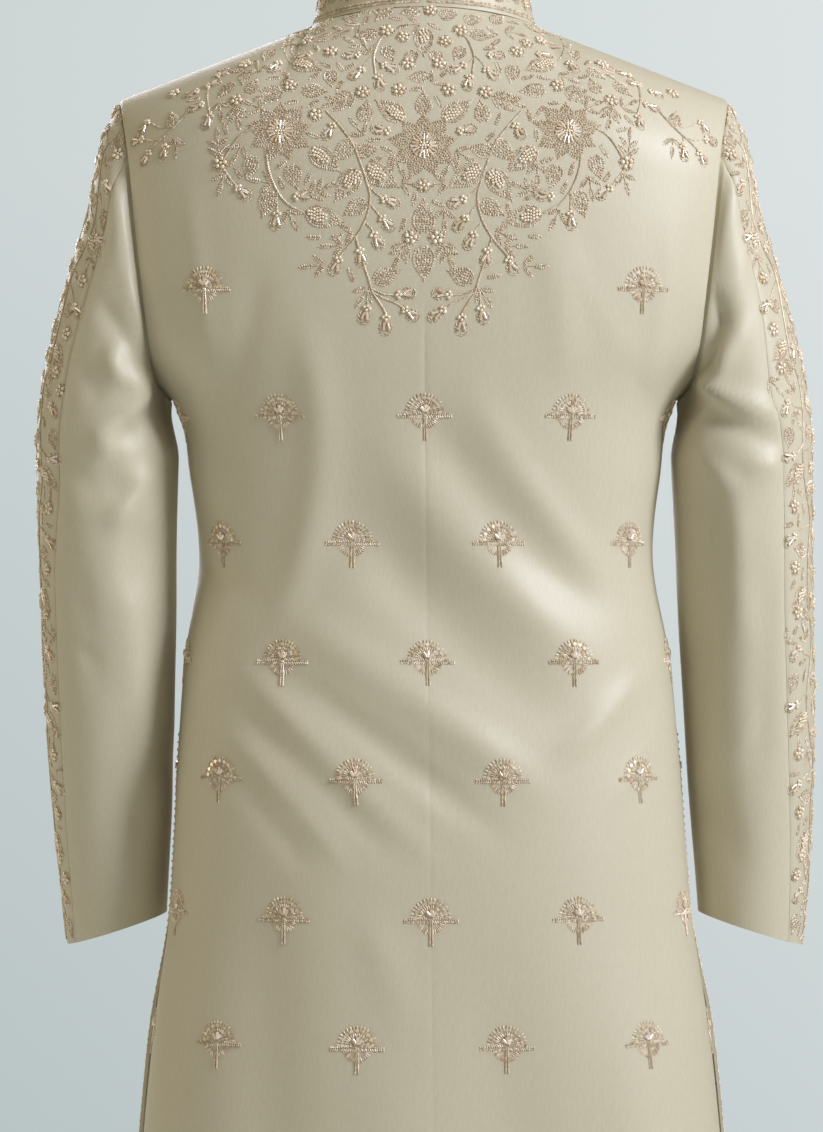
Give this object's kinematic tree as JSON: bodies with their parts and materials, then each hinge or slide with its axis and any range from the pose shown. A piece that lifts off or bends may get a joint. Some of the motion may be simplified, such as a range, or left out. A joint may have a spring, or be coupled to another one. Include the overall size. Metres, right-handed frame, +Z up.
{
  "type": "sherwani coat",
  "caption": "Knee-length embroidered men's coat as worn and left hollow, with a stand collar, two-piece sleeves, side slits and a buttoned front.",
  "frame": {"origin": "middle of the neck opening, level with the neck ends of the shoulder seams", "axes": "+Z up along the coat's length, the front faces -Y, +X to the wearer's left"},
  "size_m": [0.5949, 0.3004, 1.1234],
  "materials": {
    "coat_satin": "sage-beige polyester satin suiting with a fine twill face and a soft sheen",
    "embroidered_satin": "the same satin worked all over in rose-beige thread, beads and sequins",
    "gilt_button": "antique gilt domed buttons"
  },
  "bodies": {
    "root": {"back_left": "coat_satin", "back_right": "coat_satin", "front_left": "coat_satin", "front_right": "coat_satin", "sleeve_under_left": "coat_satin", "sleeve_under_right": "coat_satin", "sleeve_top_left": "embroidered_satin", "sleeve_top_right": "embroidered_satin", "collar": "embroidered_satin", "button_1": "gilt_button", "button_2": "gilt_button", "button_3": "gilt_button", "button_4": "gilt_button", "button_5": "gilt_button", "button_6": "gilt_button", "button_7": "gilt_button"}
  },
  "joints": []
}
